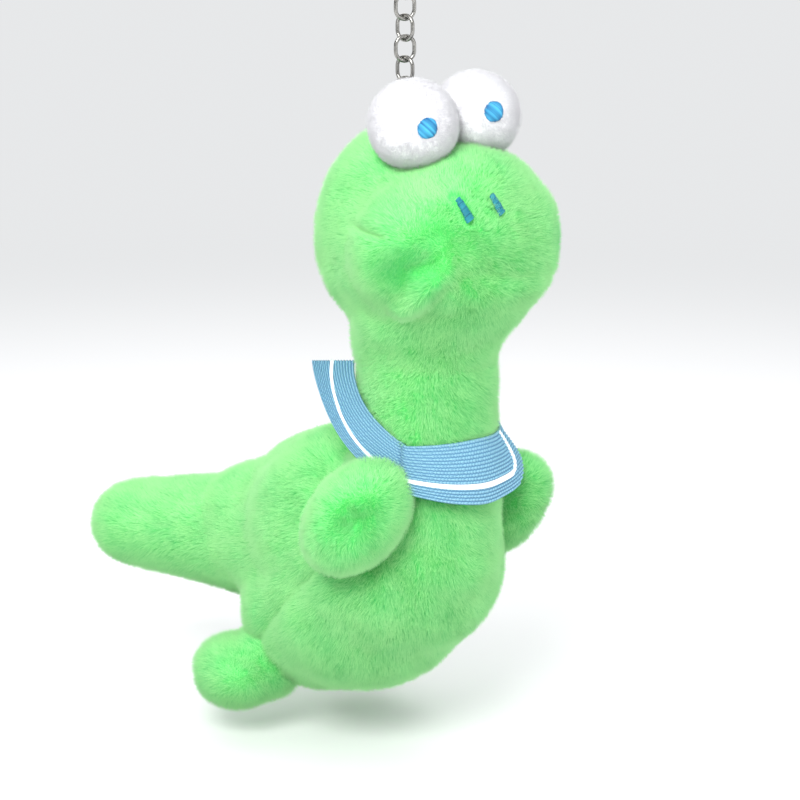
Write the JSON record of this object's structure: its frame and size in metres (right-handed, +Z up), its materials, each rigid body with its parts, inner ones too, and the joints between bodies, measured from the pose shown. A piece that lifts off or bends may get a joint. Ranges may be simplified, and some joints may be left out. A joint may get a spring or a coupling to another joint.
{
  "type": "plush keychain",
  "caption": "Small stuffed dinosaur with ball eyes, stubby limbs, a tail and a blue ribbed collar, hung by a fine steel chain from a split key ring.",
  "frame": {"origin": "centre of the key ring's opening, where the keychain is held", "axes": "+Z up along the hanging chain, the plush hangs towards -Z and faces -Y, +X is the toy's left"},
  "size_m": [0.0698, 0.125, 0.2111],
  "materials": {
    "ring_steel": "bright plated steel wire",
    "chain_steel": "bright plated steel wire",
    "loop_cord": "twisted polyester cord",
    "green_plush": "short dense pile",
    "white_plush": "very short velvet pile",
    "blue_embroidery": "satin stitch",
    "collar_webbing": "ribbed woven band",
    "stripe_print": "matt white stripe",
    "fibre_filling": "polyester fibre"
  },
  "bodies": {
    "key_ring": {"key_ring": "ring_steel"},
    "chain_link_1": {"chain_link_1": "chain_steel"},
    "chain_link_2": {"chain_link_2": "chain_steel"},
    "chain_link_3": {"chain_link_3": "chain_steel"},
    "chain_link_4": {"chain_link_4": "chain_steel"},
    "chain_link_5": {"chain_link_5": "chain_steel"},
    "chain_link_6": {"chain_link_6": "chain_steel"},
    "chain_link_7": {"chain_link_7": "chain_steel"},
    "chain_link_8": {"chain_link_8": "chain_steel"},
    "head": {"hanging_loop": "loop_cord", "head_side_right": "green_plush", "head_side_left": "green_plush", "muzzle_panel": "green_plush", "chin_panel": "green_plush", "head_filling": "fibre_filling", "eye_cover_right": "white_plush", "eye_filling_right": "fibre_filling", "pupil_right": "blue_embroidery", "eye_cover_left": "white_plush", "eye_filling_left": "fibre_filling", "pupil_left": "blue_embroidery", "nostril_right": "blue_embroidery", "nostril_left": "blue_embroidery"},
    "torso": {"torso_side_right": "green_plush", "torso_side_left": "green_plush", "belly_panel": "green_plush", "torso_filling": "fibre_filling", "collar": "collar_webbing", "collar_stripe": "stripe_print"},
    "arm_right": {"arm_cover_right": "green_plush", "arm_filling_right": "fibre_filling"},
    "foot_right": {"foot_upper_right": "green_plush", "foot_sole_right": "green_plush", "foot_filling_right": "fibre_filling"},
    "arm_left": {"arm_cover_left": "green_plush", "arm_filling_left": "fibre_filling"},
    "foot_left": {"foot_upper_left": "green_plush", "foot_sole_left": "green_plush", "foot_filling_left": "fibre_filling"},
    "tail": {"tail_side_right": "green_plush", "tail_side_left": "green_plush", "tail_filling": "fibre_filling"}
  },
  "joints": [
    {"name": "chain_swings_on_ring", "type": "hinge", "parent": "key_ring", "child": "chain_link_1", "pos_m": [0, 0, -0.01155], "axis": [1, 0, 0], "range_deg": [-30, 30]},
    {"name": "link_2_swings", "type": "hinge", "parent": "chain_link_1", "child": "chain_link_2", "pos_m": [0, 0, -0.01535], "axis": [0.1392, -0.9903, 0], "range_deg": [-30, 30]},
    {"name": "link_3_swings", "type": "hinge", "parent": "chain_link_2", "child": "chain_link_3", "pos_m": [0, 0, -0.0201], "axis": [0.9272, -0.3746, 0], "range_deg": [-30, 30]},
    {"name": "link_4_swings", "type": "hinge", "parent": "chain_link_3", "child": "chain_link_4", "pos_m": [0, 0, -0.02485], "axis": [-0.1392, 0.9903, 0], "range_deg": [-30, 30]},
    {"name": "link_5_swings", "type": "hinge", "parent": "chain_link_4", "child": "chain_link_5", "pos_m": [0, 0, -0.0296], "axis": [-0.9272, 0.3746, 0], "range_deg": [-30, 30]},
    {"name": "link_6_swings", "type": "hinge", "parent": "chain_link_5", "child": "chain_link_6", "pos_m": [0, 0, -0.03435], "axis": [0.1392, -0.9903, 0], "range_deg": [-30, 30]},
    {"name": "link_7_swings", "type": "hinge", "parent": "chain_link_6", "child": "chain_link_7", "pos_m": [0, 0, -0.0391], "axis": [0.9272, -0.3746, 0], "range_deg": [-30, 30]},
    {"name": "link_8_swings", "type": "hinge", "parent": "chain_link_7", "child": "chain_link_8", "pos_m": [0, 0, -0.04385], "axis": [-0.1392, 0.9903, 0], "range_deg": [-30, 30]},
    {"name": "plush_swings_on_chain", "type": "hinge", "parent": "chain_link_8", "child": "head", "pos_m": [0, 0, -0.0486], "axis": [-0.9272, 0.3746, 0], "range_deg": [-30, 30]},
    {"name": "neck_bends", "type": "hinge", "parent": "head", "child": "torso", "pos_m": [0, -0.0077, -0.1082], "axis": [1, 0, 0], "range_deg": [-12, 12]},
    {"name": "arm_right_lifts", "type": "hinge", "parent": "torso", "child": "arm_right", "pos_m": [-0.014, -0.0062, -0.1422], "axis": [0, 1, 0], "range_deg": [-15, 15]},
    {"name": "foot_right_flexes", "type": "hinge", "parent": "torso", "child": "foot_right", "pos_m": [-0.013, 0.0331, -0.1837], "axis": [1, 0, 0], "range_deg": [-12, 12]},
    {"name": "arm_left_lifts", "type": "hinge", "parent": "torso", "child": "arm_left", "pos_m": [0.014, -0.0062, -0.1422], "axis": [0, 1, 0], "range_deg": [-15, 15]},
    {"name": "foot_left_flexes", "type": "hinge", "parent": "torso", "child": "foot_left", "pos_m": [0.013, 0.0331, -0.1837], "axis": [1, 0, 0], "range_deg": [-12, 12]},
    {"name": "tail_wags", "type": "hinge", "parent": "torso", "child": "tail", "pos_m": [-0.006, 0.0503, -0.1602], "axis": [0, 0, 1], "range_deg": [-15, 15]}
  ]
}
